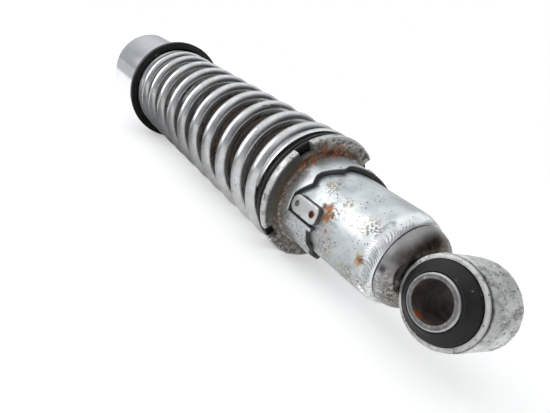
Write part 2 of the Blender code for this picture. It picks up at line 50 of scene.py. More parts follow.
# Sizes and travels of the shock.
EYE_RADIUS = 15.6 * MM
SLEEVE_RADIUS = 9.14 * MM
SLEEVE_BORE = 7.0 * MM
GROOVE_AT = 8.7 * MM
BODY_RADIUS = 18.95 * MM
WELD_PITCH = 1.3 * MM
WELD_MIDDLE = 24.9 * MM
WELD_HALF = 3.5 * MM
LUG_RADIUS = 21.6 * MM
RUSTY_DIMPLE = 54.6 * MM
CLEAN_DIMPLE = 64.2 * MM
CAM_STEP = 3.3 * MM
SKIRT_BORE = 19.25 * MM
SKIRT_RADIUS = 21.45 * MM
FLANGE_RADIUS = 29.2 * MM
FLANGE_START = 73.9 * MM
FLANGE_END = 77.3 * MM
NOTCH_RADIUS = 24.6 * MM
WIRE = 3.8 * MM
COIL = 25.4 * MM
SPRING_START = 82.3 * MM
SPRING_END = 248.3 * MM
SPRING_JOIN = 122.0 * MM
SPRING_TURNS = 11.72
STROKE = 60.0 * MM
LIFT = 13.3 * MM

# Angles in degrees; the cam's are measured past a lug.
VALLEY_START = -14.0
VALLEY_END = 8.0
TAB_START = 162.0
NOTCH_HALF = 7.5
SPRING_TIP = -185.5
SHARP = 32.0

# How outlines are rounded and cut.
MERGE = 0.004 * MM
ARC_STEPS = 6
ROOM = 0.45

DEEP_RUST = (0.10, 0.035, 0.012)


# ---------- shapes ----------

def on_damper(up, radius, turn):
    """Points round the damper's axis; turn is in radians."""
    up, radius, turn = np.broadcast_arrays(up, radius, turn)
    return np.stack([LOWER_X - up, radius * np.cos(turn), -radius * np.sin(turn)], -1)


def on_eye(centre):
    """Points round an eye's bore, which runs along Y."""
    def put(along, radius, turn):
        along, radius, turn = np.broadcast_arrays(along, radius, turn)
        return np.stack([centre + radius * np.cos(turn), along, radius * np.sin(turn)], -1)
    return put


def filleted(corners, fillet, step, closed):
    """A section through these (along, radius) corners with rounded corners, cut into short steps.

    A corner may carry its own fillet as a third number.
    """
    points = [np.array(corner[:2], float) for corner in corners]
    sizes = [corner[2] if len(corner) > 2 else fillet for corner in corners]
    count = len(points)
    rounded = []
    for i, (point, size) in enumerate(zip(points, sizes)):
        if not closed and i in (0, count - 1):
            rounded.append(point)
            continue
        back = points[i - 1] - point
        ahead = points[(i + 1) % count] - point
        room = ROOM * min(np.linalg.norm(back), np.linalg.norm(ahead))
        back = back / np.linalg.norm(back)
        ahead = ahead / np.linalg.norm(ahead)
        reach = min(size, room)
        for t in np.linspace(0.0, 1.0, ARC_STEPS):
            a = point + back * reach * (1.0 - t)
            b = point + ahead * reach * t
            rounded.append(a * (1.0 - t) + b * t)
    line = []
    last = len(rounded) if closed else len(rounded) - 1
    for i in range(last):
        here = rounded[i]
        there = rounded[(i + 1) % len(rounded)]
        pieces = max(1, int(math.ceil(np.linalg.norm(there - here) / step)))
        for j in range(pieces):
            line.append(here + (there - here) * j / pieces)
    if not closed:
        line.append(rounded[-1])
    return np.array(line)


def millimetres(corners):
    return [tuple(value * MM for value in corner) for corner in corners]


def mirrored(corners):
    """The corners again in reverse, on the other side of zero."""
    return [(-along, *rest) for along, *rest in reversed(corners)]


def grid_normals(points, wrap):
    """Unit normals of a grid of points whose columns go all the way round."""
    down = np.empty_like(points)
    if wrap:
        down = np.roll(points, -1, 0) - np.roll(points, 1, 0)
    else:
        down[1:-1] = points[2:] - points[:-2]
        down[0] = points[1] - points[0]
        down[-1] = points[-1] - points[-2]
    across = np.roll(points, -1, 1) - np.roll(points, 1, 1)
    normal = np.cross(down, across)
    return normal / np.maximum(np.linalg.norm(normal, axis=-1, keepdims=True), 1e-12)


def place(name, data):
    thing = bpy.data.objects.new(name, data)
    bpy.context.scene.collection.objects.link(thing)
    return thing


def smooth(mesh, sharp=SHARP):
    """Smooth shading, with edges sharper than this angle in degrees left crisp."""
    mesh.shade_smooth()
    mesh.set_sharp_from_angle(angle=math.radians(sharp))


def add_mesh(name, points, faces, body, sharp=SHARP):
    mesh = bpy.data.meshes.new(name)
    mesh.from_pydata(points.reshape(-1, 3).tolist(), [], faces)
    shape = bmesh.new()
    shape.from_mesh(mesh)
    bmesh.ops.remove_doubles(shape, verts=shape.verts, dist=MERGE)
    bmesh.ops.recalc_face_normals(shape, faces=shape.faces)
    shape.to_mesh(mesh)
    shape.free()
    smooth(mesh, sharp)
    thing = place(name, mesh)
    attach(thing, body)
    return thing


def grid_faces(rows, columns, wrap_rows):
    """Quads over a grid whose columns wrap round."""
    faces = []
    for i in range(rows if wrap_rows else rows - 1):
        a = i * columns
        b = ((i + 1) % rows) * columns
        for j in range(columns):
            k = (j + 1) % columns
            faces.append((a + j, a + k, b + k, b + j))
    return faces


def turned(name, corners, fillet, step, put, steps, body, relief=None, closed=True):
    """A turned piece from (along, radius) corners in millimetres, rounded and cut by filleted.

    relief(along, radius, turn, points) raises its surface, in metres. An open outline starts and
    ends on the axis.
    """
    section = filleted(millimetres(corners), fillet * MM, step * MM, closed)
    turn = np.arange(steps) * TURN / steps
    along = section[:, 0][:, None]
    radius = section[:, 1][:, None]
    points = put(along, radius, turn[None, :])
    if relief is not None:
        normal = grid_normals(points, closed)
        outward = put(along, radius + MM, turn[None, :]) - points
        widest = int(np.argmax(section[:, 1]))
        if (normal[widest] * outward[widest]).sum() < 0.0:
            normal = -normal
        points = points + normal * relief(along, radius, turn[None, :], points)[..., None]
    return add_mesh(name, points, grid_faces(len(section), steps, closed), body)


def rough_field(points, size, seed, octaves=3):
    """Smooth noise at each point, about -1 to 1, with bumps of this size."""
    flat = points.reshape(-1, 3) / size + seed
    values = [noise.fractal(Vector(p), 0.9, 2.1, octaves) for p in flat]
    return np.array(values).reshape(points.shape[:-1])


def smoothstep(low, high, value):
    t = np.clip((value - low) / (high - low), 0.0, 1.0)
    return t * t * (3.0 - 2.0 * t)


# ---------- procedural materials ----------

class Graph:
    """A node tree built up from small helpers."""

    def __init__(self, owner):
        owner.use_nodes = True
        self.tree = owner.node_tree

    def new(self, kind, inputs, **settings):
        """Adds a node with these settings, and with these values or sockets as its inputs."""
        node = self.tree.nodes.new("ShaderNode" + kind)
        for name, value in settings.items():
            setattr(node, name, value)
        for name, value in inputs.items():
            self.join(value, node.inputs[name])
        return node

    def join(self, value, socket):
        if isinstance(value, bpy.types.NodeSocket):
            self.tree.links.new(value, socket)
        elif socket.type == "RGBA":
            socket.default_value = (*value, 1.0)
        else:
            socket.default_value = value

    def math(self, operation, a, b=0.0, c=0.0):
        return self.new("Math", {0: a, 1: b, 2: c}, operation=operation).outputs[0]

    def vector_math(self, operation, value, constant):
        return self.new("VectorMath", {0: value, 1: constant}, operation=operation).outputs

    def span(self, value, low, high, start=0.0, end=1.0):
        """Runs smoothly from start at low to end at high."""
        inputs = {"Value": value, "From Min": low, "From Max": high, "To Min": start, "To Max": end}
        return self.new("MapRange", inputs, interpolation_type="SMOOTHSTEP").outputs["Result"]

    def fade(self, value, low, high):
        """1 below low, 0 above high."""
        return self.span(value, low, high, 1.0, 0.0)

    def mix(self, amount, a, b):
        """Mixes two colours."""
        return self.new("Mix", {0: amount, 6: a, 7: b}, data_type="RGBA").outputs[2]

    def blend(self, amount, a, b):
        """Mixes two numbers."""
        return self.new("Mix", {0: amount, 2: a, 3: b}).outputs[0]

    def plus(self, a, b):
        return self.math("ADD", a, b)

    def minus(self, a, b):
        return self.math("SUBTRACT", a, b)

    def stirred(self, value, by, amount):
        """The value moved either way by a noise, by up to half the amount."""
        return self.plus(value, self.times(self.minus(by, 0.5), amount))

    def times(self, *values):
        result = values[0]
        for value in values[1:]:
            result = self.math("MULTIPLY", result, value)
        return result

    def most(self, *values):
        result = values[0]
        for value in values[1:]:
            result = self.math("MAXIMUM", result, value)
        return result


class Surface(Graph):
    """A material's nodes. Sizes are in metres in the object's own space."""

    def __init__(self, name):
        self.material = bpy.data.materials.new(name)
        super().__init__(self.material)
        self.shader = self.tree.nodes["Principled BSDF"]
        self.position = self.new("TexCoord", {}).outputs["Object"]
        self.x, self.y, self.z = self.new("SeparateXYZ", {0: self.position}).outputs

    def stretched(self, factors):
        """The position scaled by different factors along X, Y and Z."""
        return self.vector_math("MULTIPLY", self.position, factors)["Vector"]

    def noise(self, size, detail=4.0, roughness=0.6, distortion=0.0, vector=None, shift=0.0):
        inputs = {
            "Vector": vector or self.position, "W": shift, "Scale": 1.0 / size, "Detail": detail,
            "Roughness": roughness, "Distortion": distortion,
        }
        return self.new("TexNoise", inputs, noise_dimensions="4D").outputs["Fac"]

    def cells(self, size, shift=0.0):
        """Distance to the nearest of scattered points, in cell sizes."""
        inputs = {"Vector": self.position, "W": shift, "Scale": 1.0 / size}
        return self.new("TexVoronoi", inputs, voronoi_dimensions="4D").outputs["Distance"]

    def coat(self, amount, colour):
        """Lays a colour over the one so far."""
        self.tone = self.mix(amount, self.tone, colour)

    def clouded(self, size, dark, light, low=0.35, high=0.7, detail=4.0, roughness=0.6, shift=0.0):
        """Starts the colour as soft clouds of two tones, and returns the clouds."""
        cloud = self.noise(size, detail, roughness, shift=shift)
        self.tone = self.mix(self.span(cloud, low, high), dark, light)
        return cloud

    def up(self):
        """Distance from the lower eye, along the damper."""
        return self.minus(LOWER_X, self.x)

    def radius(self):
        """Distance from the damper's axis."""
        y = self.math("POWER", self.y, 2.0)
        z = self.math("POWER", self.z, 2.0)
        return self.math("SQRT", self.plus(y, z))

    def spot(self, centre, inner, outer, ragged=0.0, seed=0.0):
        """1 near a point and 0 away from it, with a ragged edge."""
        far = self.vector_math("DISTANCE", self.position, centre)["Value"]
        if ragged:
            far = self.stirred(far, self.noise(outer * 0.5, 4.0, 0.55, shift=seed), ragged)
        return self.fade(far, inner, outer)

    def specks(self, size, radius, density, seed=0.0):
        """Scattered small dots; density is the share of places where they may be, 0 to 1."""
        dots = self.fade(self.cells(size, shift=seed), radius, radius * 1.5)
        low = 0.72 - density * 0.5
        where = self.span(self.noise(size * 5.0, 2.0, 0.55, shift=seed + 3.0), low, low + 0.08)
        return self.times(dots, where)

    def wear(self, low, high):
        """1 on convex edges."""
        return self.span(self.new("NewGeometry", {}).outputs["Pointiness"], low, high)

    def finish(self, roughness, metallic, height=None, strength=0.4, distance=0.0002, specular=0.5):
        self.join(self.tone, self.shader.inputs["Base Color"])
        self.join(roughness, self.shader.inputs["Roughness"])
        self.join(metallic, self.shader.inputs["Metallic"])
        self.shader.inputs["Specular IOR Level"].default_value = specular
        if height is not None:
            bump = self.new("Bump", {"Strength": strength, "Distance": distance, "Height": height})
            self.join(bump.outputs[0], self.shader.inputs["Normal"])
        return self.material


def spot_at(up, turn, radius=BODY_RADIUS):
    """A place on the damper: millimetres up, degrees round."""
    turn = math.radians(turn)
    return (LOWER_X - up * MM, radius * math.cos(turn), -radius * math.sin(turn))


def silver_paint(name, rust_points, stain_points, grime_and_shade_above=None, freckles=0.35, bright=0.0):
    """Semi-gloss silver paint with pinhole rust, stains and dirt, and above given heights a brown
    darkening that is partly grime and partly painted shade.

    Spots are (up, turn, size). bright polishes the weld and whitens it as a painted highlight, least
    beside the tube.
    """
    s = Surface(name)
    s.clouded(0.011, (0.42, 0.455, 0.475), (0.60, 0.63, 0.645))
    # Painted highlight: the weld is whitened towards the cap end, and it is also made a little glossier.
    weld_highlight_and_polish = s.times(s.fade(s.up(), 0.0255, 0.0290), bright)
    s.coat(weld_highlight_and_polish, (0.93, 0.94, 0.94))
    dirt = s.span(s.noise(0.0013, 5.0, 0.78, shift=2.0), 0.49, 0.62)
    patch = s.span(s.noise(0.012, 3.0, shift=5.0), 0.5, 0.66)
    low = s.fade(s.z, -0.018, -0.001)
    high = s.span(s.y, -0.004, 0.006)
    dull = s.times(dirt, s.most(s.times(patch, 0.7), s.times(low, 0.9), s.times(high, 0.7)), 0.85)
    s.coat(dull, (0.14, 0.122, 0.096))
    pins = s.most(s.specks(0.0017, 0.16, freckles, 1.0), s.specks(0.0011, 0.17, freckles, 26.0))
    big_pins = s.specks(0.0042, 0.10, freckles, 8.0)
    s.coat(s.most(pins, big_pins), DEEP_RUST)
    rust = s.times(s.specks(0.003, 0.2, freckles * 0.3, 15.0), 0.7)
    for i, (up, turn, size) in enumerate(rust_points):
        rust = s.most(rust, s.spot(spot_at(up, turn), 0.25 * size, size, size * 0.9, i + 20.0))
    stain = 0.0
    for i, (up, turn, size) in enumerate(stain_points):
        stain = s.most(stain, s.spot(spot_at(up, turn), 0.1 * size, size, size, i + 40.0))
    grain = s.span(s.noise(0.0008, 4.0, 0.7, shift=9.0), 0.42, 0.6)
    fine = s.span(s.noise(0.0011, 4.0, 0.7, shift=12.0), 0.46, 0.56)
    rust = s.times(rust, s.blend(s.times(rust, rust), grain, 0.85))
    stain = s.times(stain, fine, 0.75)
    hue = s.span(s.noise(0.0022, 3.0, 0.55, shift=33.0), 0.42, 0.6)
    rust_tone = s.mix(hue, (0.16, 0.05, 0.01), (0.46, 0.145, 0.012))
    yellow = s.span(s.noise(0.005, 2.0, 0.55, shift=35.0), 0.45, 0.6)
    s.coat(stain, s.mix(yellow, (0.17, 0.11, 0.05), (0.40, 0.27, 0.045)))
    s.coat(rust, rust_tone)
    # Inside the spring the tube is darkened brown: partly grime, partly painted shade from the coils.
    if grime_and_shade_above:
        start, full = grime_and_shade_above
        mud = s.noise(0.006, 5.0, 0.65, shift=31.0)
        level = s.stirred(s.up(), mud, 0.05)
        grime_and_shade = s.span(level, start, full)
        brown = s.mix(s.span(mud, 0.4, 0.6), (0.022, 0.018, 0.015), (0.075, 0.045, 0.025))
        s.coat(grime_and_shade, brown)
        rust = s.most(rust, grime_and_shade)
    covered = s.most(rust, stain, dull)
    gloss = s.blend(s.span(s.noise(0.004, shift=14.0), 0.3, 0.7), 0.36, 0.50)
    gloss = s.minus(gloss, s.times(weld_highlight_and_polish, 0.14))
    rough = s.blend(covered, gloss, 0.75)
    metal = s.blend(covered, 0.85, 0.1)
    peel = s.noise(0.0012, 3.0, 0.5, shift=17.0)
    height = s.plus(s.times(peel, 0.35), s.times(rust, 0.8))
    height = s.minus(height, s.most(pins, big_pins))
    return s.finish(rough, metal, height, 0.35, 0.00015)


def cast_paint(name, grooves=False):
    """Thick whitish silver paint over rough steel, rubbed and pitted to dark metal."""
    s = Surface(name)
    s.clouded(0.009, (0.52, 0.53, 0.525), (0.88, 0.885, 0.88), 0.35, 0.65, 5.0, 0.65)
    scrape = s.noise(0.0026, 6.0, 0.75, 0.6, s.stretched((1.0, 0.45, 1.0)), 3.0)
    region = s.noise(0.010, 3.0, shift=6.0)
    level = s.stirred(scrape, region, 0.55)
    bare = s.most(s.span(level, 0.53, 0.60), s.times(s.span(level, 0.47, 0.55), 0.3))
    crumbs = s.span(s.noise(0.0009, 5.0, 0.8, shift=33.0), 0.42, 0.56)
    streaks = s.span(s.noise(0.0016, 5.0, 0.75, 0.8, s.stretched((1.0, 0.35, 1.0)), 37.0), 0.50, 0.62)
    s.coat(s.times(streaks, 0.4), (0.34, 0.34, 0.33))
    s.coat(s.times(bare, 0.85), s.mix(crumbs, (0.13, 0.125, 0.115), (0.46, 0.46, 0.45)))
    pits = s.most(s.specks(0.0016, 0.2, 0.75, 1.0), s.specks(0.0034, 0.15, 0.5, 4.0))
    s.coat(s.times(pits, 0.9), (0.03, 0.028, 0.025))
    warm = s.span(s.noise(0.004, shift=22.0), 0.62, 0.75)
    s.coat(s.times(warm, 0.35), (0.22, 0.15, 0.08))
    if grooves:
        side = s.times(s.y, -1.0)
        off = s.math("ABSOLUTE", s.minus(side, GROOVE_AT))
        line = s.fade(s.stirred(off, scrape, 0.0008), 0.0003, 0.0008)
        band = s.span(side, GROOVE_AT + 0.0003, GROOVE_AT + 0.0006)
        s.coat(s.times(band, 0.5), (0.34, 0.34, 0.315))
        s.coat(s.times(line, 0.9), (0.045, 0.043, 0.038))
        under = s.fade(s.z, -0.0155, -0.009)
        s.coat(s.times(under, s.span(region, 0.4, 0.6), 0.6), (0.13, 0.085, 0.055))
    rough = s.blend(s.most(bare, pits), 0.42, 0.6)
    metal = s.blend(s.most(bare, pits), 0.35, 0.5)
    bumps = s.noise(0.0022, 6.0, 0.65, shift=11.0)
    height = s.minus(bumps, s.times(s.most(bare, pits), 0.5))
    return s.finish(rough, metal, height, 0.7, 0.0004)


def end_cap_metal():
    """Smooth dark pressed steel, lighter grey by the weld as a painted highlight band and darkening to
    brown by the eye as painted shade over some real brown tarnish, with old paint left in three places.
    """
    s = Surface("end_cap_bare_steel")
    up = s.up()
    brushed = s.noise(0.0022, 4.0, 0.55, 0.3, s.stretched((0.3, 1.0, 1.0)), 1.0)
    # Painted shade and highlight: the cap runs from a shaded dark brown by the eye to a lit lighter grey
    # by the weld.
    shade = s.stirred(up, s.noise(0.014, 3.0, 0.5, shift=3.0), 0.006)
    s.tone = s.mix(s.span(shade, 0.0148, 0.0188), (0.090, 0.057, 0.038), (0.23, 0.225, 0.23))
    s.coat(s.times(s.span(brushed, 0.35, 0.7), 0.45), (0.30, 0.29, 0.28))
    low = s.spot(spot_at(17.0, 148.0, 0.017), 0.005, 0.012, 0.008, 2.0)
    far = s.spot(spot_at(17.0, 292.0, 0.017), 0.004, 0.009, 0.006, 4.0)
    back = s.spot(spot_at(17.0, 60.0, 0.017), 0.006, 0.015, 0.008, 8.0)
    flecks = s.span(s.noise(0.0014, 6.0, 0.8, shift=5.0), 0.45, 0.58)
    paint = s.times(flecks, s.most(low, s.times(far, 0.8), s.times(back, 0.7)))
    worn = s.span(s.noise(0.003, shift=19.0), 0.4, 0.6)
    s.coat(paint, s.mix(worn, (0.28, 0.27, 0.25), (0.58, 0.58, 0.56)))
    tan = s.times(far, s.span(s.noise(0.002, shift=16.0), 0.5, 0.62))
    s.coat(s.times(tan, 0.7), (0.26, 0.17, 0.09))
    blot = s.spot(spot_at(19.3, 176.0, 0.017), 0.0006, 0.0026, 0.001, 6.0)
    s.coat(s.times(blot, 0.85), (0.015, 0.015, 0.03))
    seam = s.span(s.stirred(up, brushed, 0.001), 0.0211, 0.0214)
    s.coat(seam, (0.02, 0.018, 0.016))
    rough = s.blend(s.most(paint, tan), 0.3, 0.6)
    metal = s.blend(s.most(paint, tan), 0.9, 0.2)
    height = s.plus(s.times(brushed, 0.3), s.times(paint, 0.6))
    return s.finish(rough, metal, height, 0.35, 0.00015)


def rubber(name):
    """Black satin rubber with a little pale dust."""
    s = Surface(name)
    cloud = s.clouded(0.007, (0.005, 0.005, 0.006), (0.014, 0.013, 0.013))
    dust = s.specks(0.0024, 0.16, 0.28, 2.0)
    s.coat(s.times(dust, 0.6), (0.2, 0.2, 0.2))
    scuff = s.span(s.noise(0.003, 5.0, 0.7, shift=6.0), 0.62, 0.75)
    s.coat(s.times(scuff, 0.35), (0.07, 0.068, 0.065))
    rough = s.blend(s.span(cloud, 0.3, 0.7), 0.42, 0.62)
    return s.finish(rough, 0.0, s.noise(0.0009, 3.0, shift=9.0), 0.3, 0.0001, 0.28)


def sleeve_steel(name, centre):
    """Turned steel: ringed grey ends, a brown bore with a patch of fresh rust."""
    s = Surface(name)
    dx = s.minus(s.x, centre)
    square = s.plus(s.math("POWER", dx, 2.0), s.math("POWER", s.z, 2.0))
    radius = s.math("SQRT", square)
    rings = s.math("SINE", s.times(radius, 26000.0))
    haze = s.clouded(0.002, (0.11, 0.107, 0.11), (0.23, 0.225, 0.23), roughness=0.65, shift=1.0)
    nicks = s.specks(0.0012, 0.2, 0.6, 4.0)
    s.coat(s.times(nicks, 0.6), (0.75, 0.75, 0.75))
    # Painted highlight: the sleeve's outer chamfer is coloured light grey.
    outer = s.span(radius, SLEEVE_RADIUS - 0.0007, SLEEVE_RADIUS - 0.0003)
    s.coat(s.times(outer, 0.6), (0.62, 0.62, 0.62))
    ledge = s.math("ABSOLUTE", s.minus(radius, SLEEVE_BORE + 0.0011))
    s.coat(s.times(s.fade(ledge, 0.0001, 0.0003), 0.5), (0.10, 0.10, 0.10))
    inside = s.fade(radius, SLEEVE_BORE + 0.00012, SLEEVE_BORE + 0.00035)
    film = s.span(s.noise(0.004, 5.0, shift=7.0), 0.35, 0.65)
    brown = s.mix(film, (0.042, 0.030, 0.026), (0.12, 0.088, 0.075))
    s.coat(inside, brown)
    fresh = s.spot((centre - 0.0024, -0.0133, -0.0065), 0.0006, 0.0024, 0.0018, 9.0)
    fresh = s.times(fresh, inside)
    s.coat(fresh, (0.36, 0.085, 0.02))
    rough = s.blend(inside, s.blend(haze, 0.32, 0.5), 0.7)
    metal = s.blend(inside, 0.9, 0.35)
    height = s.plus(s.times(rings, 0.12), s.times(haze, 0.5))
    return s.finish(rough, metal, height, 0.25, 0.0001)


def worn_chrome(name):
    """Dulled chrome on the spring: hazy, pitted, with brown film in places, thickest on the coils' inner
    sides where it is partly real film and partly painted shade.
    """
    s = Surface(name)
    s.clouded(0.009, (0.50, 0.50, 0.50), (0.66, 0.665, 0.67), 0.3)
    pits = s.most(s.specks(0.0013, 0.2, 0.45, 2.0), s.specks(0.003, 0.12, 0.4, 6.0))
    near_seat = s.span(s.up(), 0.16, 0.085, 0.45, 1.0)
    pits = s.times(pits, near_seat)
    s.coat(s.times(pits, 0.85), (0.05, 0.035, 0.025))
    # The coils' inner sides, facing the damper, get most of the brown film: partly real film, partly
    # painted shade.
    inner = s.fade(s.radius(), 0.0226, 0.0268)
    where = s.plus(s.times(inner, 0.85), 0.08)
    film = s.times(s.span(s.noise(0.011, 4.0, 0.65, shift=9.0), 0.36, 0.56), where)
    s.coat(film, (0.085, 0.055, 0.036))
    scuff = s.span(s.noise(0.0015, 5.0, 0.7, shift=13.0), 0.6, 0.7)
    rough = s.blend(s.most(film, pits, s.times(scuff, 0.4)), 0.23, 0.6)
    metal = s.blend(s.most(film, pits), 1.0, 0.4)
    height = s.minus(s.times(s.noise(0.0016, 3.0, 0.5, shift=17.0), 0.4), pits)
    return s.finish(rough, metal, height, 0.25, 0.00012)


def bright_chrome():
    """Mirror chrome with faint haze and a few pinholes."""
    s = Surface("cover_mirror_chrome")
    haze = s.clouded(0.02, (0.74, 0.75, 0.77), (0.83, 0.84, 0.86), 0.3)
    pins = s.specks(0.004, 0.07, 0.25, 3.0)
    s.coat(pins, DEEP_RUST)
    rough = s.blend(s.span(haze, 0.4, 0.75), 0.035, 0.10)
    rough = s.plus(rough, s.times(pins, 0.5))
    wave = s.noise(0.03, 2.0, 0.4, shift=4.0)
    return s.finish(rough, 1.0, wave, 0.06, 0.0004)


def black_paint(name, dusty):
    """Satin black paint, rubbed grey on its edges."""
    s = Surface(name)
    cloud = s.clouded(0.006, (0.006, 0.006, 0.007), (0.016, 0.0155, 0.0155))
    dust = s.span(s.noise(0.0016, 5.0, 0.7, shift=3.0), 0.6, 0.72)
    s.coat(s.times(dust, dusty), (0.16, 0.15, 0.14))
    edge = s.times(s.wear(0.52, 0.62), s.span(s.noise(0.002, 4.0, 0.55, shift=7.0), 0.4, 0.6))
    s.coat(s.times(edge, 0.6), (0.3, 0.3, 0.3))
    rough = s.blend(s.span(cloud, 0.3, 0.7), 0.32, 0.5)
    return s.finish(rough, 0.1, s.noise(0.0012, 3.0, shift=9.0), 0.25, 0.0001, 0.35)


def plain_metal(name, dark, light, rough, metallic=1.0):
    """Machined metal with fine tool marks and uneven tarnish."""
    s = Surface(name)
    marks = s.noise(0.0008, 4.0, 0.6, 0.0, s.stretched((1.0, 0.3, 0.3)), 1.0)
    haze = s.noise(0.006, shift=4.0)
    both = s.plus(s.times(marks, 0.4), s.times(haze, 0.6))
    s.tone = s.mix(s.span(both, 0.35, 0.65), dark, light)
    level = s.blend(haze, rough - 0.08, rough + 0.12)
    return s.finish(level, metallic, marks, 0.2, 0.0001)


def foam(name):
    """Closed-cell bump-stop foam."""
    s = Surface(name)
    cells = s.cells(0.0007, shift=2.0)
    s.clouded(0.005, (0.012, 0.011, 0.010), (0.035, 0.030, 0.026))
    return s.finish(0.8, 0.0, cells, 0.5, 0.0002)


# ---------- pieces ----------

def coated(thing, material):
    """Gives a piece this one material."""
    thing.data.materials.clear()
    thing.data.materials.append(material)


def dress(thing, material, node):
    """Gives a piece its material and slot, and hides the CAD node that it replaces."""
    coated(thing, material)
    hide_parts(node)


def lumps(amount, size, seed):
    def relief(along, radius, turn, points):
        return amount * rough_field(points, size, seed)
    return relief


def eye(prefix, centre, body, sleeve_body):
    """An eye's steel ring, its bulging rubber bush and the steel sleeve."""
    put = on_eye(centre)
    ring = [
        (-10.1, 13.7, 0.2), (-10.1, 14.6, 0.6), (-9.8, 15.3, 0.6), (-9.3, 15.3, 0.2),
        (-9.05, 14.7, 0.15), (-8.4, 14.7, 0.15), (-8.05, 15.6, 0.35), (9.2, 15.6, 0.4),
        (10.1, 14.8, 0.4), (10.1, 13.7, 0.2),
    ]

    def relief(along, radius, turn, points):
        amount = np.where(along > -0.0082, 0.13 * MM, 0.03 * MM) * smoothstep(0.0142, 0.015, radius)
        return amount * (rough_field(points, 0.0032, 3.0 + centre * 50.0) + 0.35)

    steel = turned(prefix + "_eye_ring", ring, 0.3, 0.55, put, 240, body, relief)
    dress(steel, cast_paint(prefix + "_eye_worn_paint", True), prefix + "_eye")
    bush = [
        (13.9, 9.44, 0.1), (13.9, 9.9, 0.4), (12.9, 11.0, 0.9), (11.2, 13.5, 0.5),
        (10.2, 13.5, 0.2), (9.6, 13.5, 0.2),
    ]
    dents = lumps(0.05 * MM, 0.004, 8.0 + centre * 40.0)
    soft = turned(prefix + "_bush", bush + mirrored(bush), 0.4, 0.6, put, 180, body, dents)
    dress(soft, rubber(prefix + "_bush_black_rubber"), prefix + "_bush_rubber")
    end = [(14.7, 7.25), (14.7, 8.75), (14.3, 9.14)]
    outline = end + mirrored(end) + [(-14.4, 7.0), (14.4, 7.0)]
    dents = lumps(0.02 * MM, 0.003, 5.0 + centre * 40.0)
    sleeve = turned(prefix + "_sleeve", outline, 0.15, 0.8, put, 160, sleeve_body, dents)
    look = sleeve_steel(prefix + "_sleeve_turned_steel", centre)
    dress(sleeve, look, prefix + "_bush_sleeve")


def carve(thing, radius, centre, length=0.08):
    """Cuts a cylinder along Y out of a piece and keeps the result as its mesh."""
    mesh = bpy.data.meshes.new("cutter")
    shape = bmesh.new()
    bmesh.ops.create_cone(shape, cap_ends=True, segments=160, radius1=radius, radius2=radius, depth=length)
    shape.to_mesh(mesh)
    shape.free()
    cutter = place("cutter", mesh)
    tilt = Vector((0, 1, 0)).to_track_quat("Z", "Y").to_matrix().to_4x4()
    cutter.matrix_world = Matrix.Translation(centre) @ tilt
    boolean = thing.modifiers.new("carve", "BOOLEAN")
    boolean.object = cutter
    boolean.solver = "EXACT"
    bpy.context.view_layer.update()
    graph = bpy.context.evaluated_depsgraph_get()
    carved = bpy.data.meshes.new_from_object(thing.evaluated_get(graph))
    thing.modifiers.clear()
    thing.data = carved
    smooth(carved)
    bpy.data.objects.remove(cutter)


def end_cap():
    corners = [
        (12.4, 0.0), (12.4, 8.0, 2.0), (13.6, 12.0, 2.0), (15.6, 14.5, 2.5), (18.3, 16.1, 2.5),
        (21.45, 16.65, 0.3), (21.45, 16.2), (27.5, 16.2), (27.5, 12.6), (23.5, 12.6), (23.5, 0.0),
    ]
    dents = lumps(0.05 * MM, 0.006, 2.0)
    cap = turned("body_cap", corners, 0.4, 0.7, on_damper, 200, "damper_body", dents, closed=False)
    carve(cap, EYE_RADIUS + 0.15 * MM, (LOWER_X, 0.0, 0.0))
    dress(cap, end_cap_metal(), "body_end_cap")


def weld():
    """The bead that closes the body: overlapping crescents along a slightly wandering edge."""
    corners = [
        (21.65, 16.3), (21.65, 16.75, 0.3), (22.9, 17.65, 0.9), (25.0, 18.5, 1.2),
        (28.2, 18.93, 1.0), (29.6, 18.97, 0.1), (29.6, 18.5), (28.4, 16.4),
    ]

    def relief(along, radius, turn, points):
        across = (along - WELD_MIDDLE) / WELD_HALF
        wander = 1.5 * rough_field(points, 0.008, 4.0, 2)
        phase = turn * BODY_RADIUS / WELD_PITCH + 1.9 * across ** 2 + wander
        saw = (phase - np.floor(phase)) - 0.5
        crescent = saw * smoothstep(0.5, 0.40, abs(saw))
        inside = smoothstep(0.0, 0.55, 1.0 - np.abs(across)) * smoothstep(0.0166, 0.0172, radius)
        uneven = 0.15 + 1.05 * smoothstep(-0.25, 0.4, rough_field(points, 0.007, 9.0, 2))
        ripple = 0.64 * MM * crescent * uneven
        return (ripple + 0.10 * MM * rough_field(points, 0.004, 7.0, 2)) * inside

    bead = turned("body_weld", corners, 0.2, 0.2, on_damper, 1200, "damper_body", relief)
    rust = [(27.6, 171.0, 0.0028), (23.0, 196.0, 0.0016)]
    stains = [(28.5, 168.0, 0.005), (28.5, 208.0, 0.004), (26.0, 145.0, 0.004)]
    look = silver_paint("weld_silver_paint", rust, stains, bright=0.6)
    dress(bead, look, "weld_bead")


def tube():
    corners = [(29.0, 16.6), (29.0, 18.9), (31.5, 18.95, 1.0), (163.0, 18.95, 0.4), (163.0, 16.6)]
    dents = lumps(0.04 * MM, 0.016, 6.0)
    shell = turned("damper_tube", corners, 0.2, 1.4, on_damper, 220, "damper_body", dents)
    rust = [
        (49.6, 185.0, 0.0036), (50.4, 196.0, 0.0034), (47.5, 192.0, 0.0020), (53.0, 195.0, 0.0022),
        (47.0, 172.0, 0.0016),
    ]
    stains = [
        (49.0, 190.0, 0.008), (30.5, 207.0, 0.006), (47.0, 150.0, 0.009), (33.0, 142.0, 0.007),
        (46.0, 214.0, 0.004), (57.0, 222.0, 0.006),
    ]
    look = silver_paint("tube_silver_paint", rust, stains, (0.082, 0.105), freckles=0.6)
    dress(shell, look, "body_tube")


